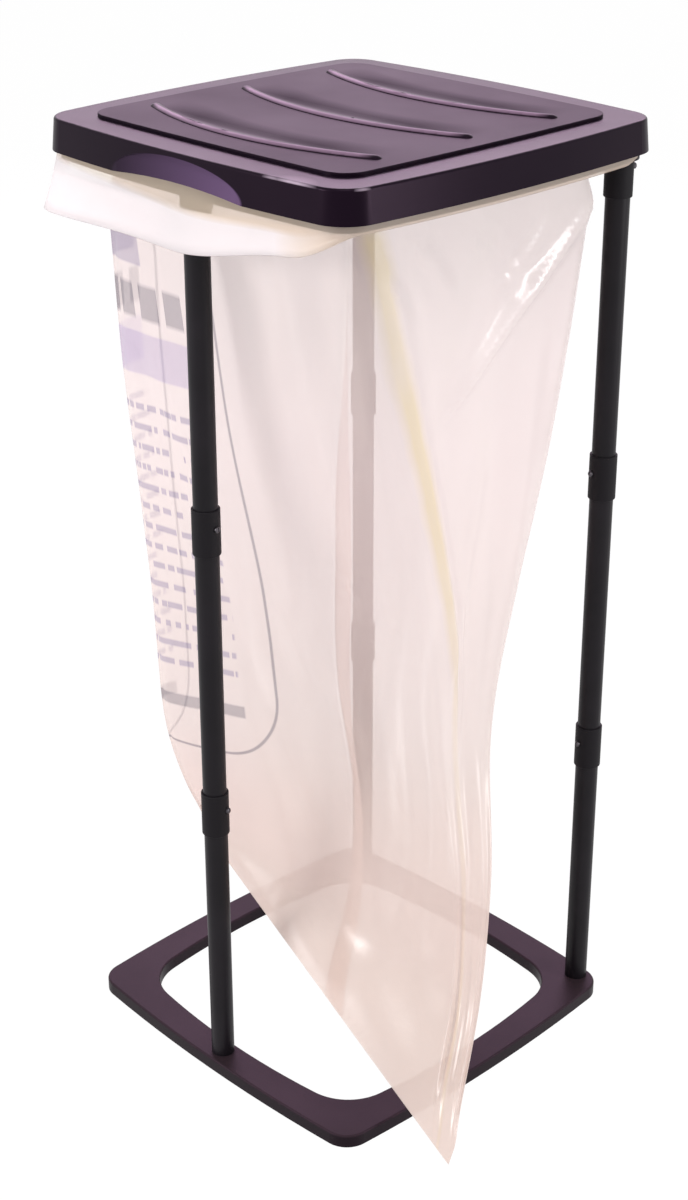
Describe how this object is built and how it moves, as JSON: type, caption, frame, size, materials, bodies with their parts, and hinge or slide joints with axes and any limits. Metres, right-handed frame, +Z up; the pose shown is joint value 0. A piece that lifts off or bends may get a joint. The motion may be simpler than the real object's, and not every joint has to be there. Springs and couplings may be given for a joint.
{
  "type": "bin bag holder",
  "caption": "Free-standing bin bag holder: square base ring, sectional tube legs, top frame that carries an open film bag, and a hinged lid with a finger scoop.",
  "frame": {"origin": "on the floor, under the middle of the base ring", "axes": "+Z up, -Y towards the finger scoop and the single front leg, +X to the right seen from the front"},
  "size_m": [0.4567, 0.3915, 0.9026],
  "materials": {
    "lid_plastic": "moulded, satin gloss, dark aubergine",
    "frame_plastic": "moulded, satin",
    "base_plastic": "moulded, satin, dark aubergine",
    "tube_paint": "semi-gloss black powder coat on steel tube",
    "collar_plastic": "moulded, fine matt grain",
    "screw_steel": "blackened steel",
    "pin_steel": "plain drawn steel",
    "bag_film": "thin translucent polyethylene film"
  },
  "bodies": {
    "stand": {"base_ring": "base_plastic", "top_frame": "frame_plastic", "front_lower_tube": "tube_paint", "front_lower_collar": "collar_plastic", "front_lower_screw": "screw_steel", "front_middle_tube": "tube_paint", "front_middle_collar": "collar_plastic", "front_middle_screw": "screw_steel", "front_upper_tube": "tube_paint", "front_upper_collar": "collar_plastic", "front_upper_screw": "screw_steel", "rear_right_lower_tube": "tube_paint", "rear_right_lower_collar": "collar_plastic", "rear_right_lower_screw": "screw_steel", "rear_right_middle_tube": "tube_paint", "rear_right_middle_collar": "collar_plastic", "rear_right_middle_screw": "screw_steel", "rear_right_upper_tube": "tube_paint", "rear_right_upper_collar": "collar_plastic", "rear_right_upper_screw": "screw_steel", "rear_left_lower_tube": "tube_paint", "rear_left_lower_collar": "collar_plastic", "rear_left_lower_screw": "screw_steel", "rear_left_middle_tube": "tube_paint", "rear_left_middle_collar": "collar_plastic", "rear_left_middle_screw": "screw_steel", "rear_left_upper_tube": "tube_paint", "rear_left_upper_collar": "collar_plastic", "rear_left_upper_screw": "screw_steel", "left_hinge_pin": "pin_steel", "right_hinge_pin": "pin_steel", "bin_bag": "bag_film"},
    "lid": {"lid": "lid_plastic"}
  },
  "joints": [
    {"name": "lid_hinge", "type": "hinge", "parent": "stand", "child": "lid", "pos_m": [0, 0.19197, 0.8638], "axis": [-1, 0, 0], "range_deg": [0, 105]}
  ]
}
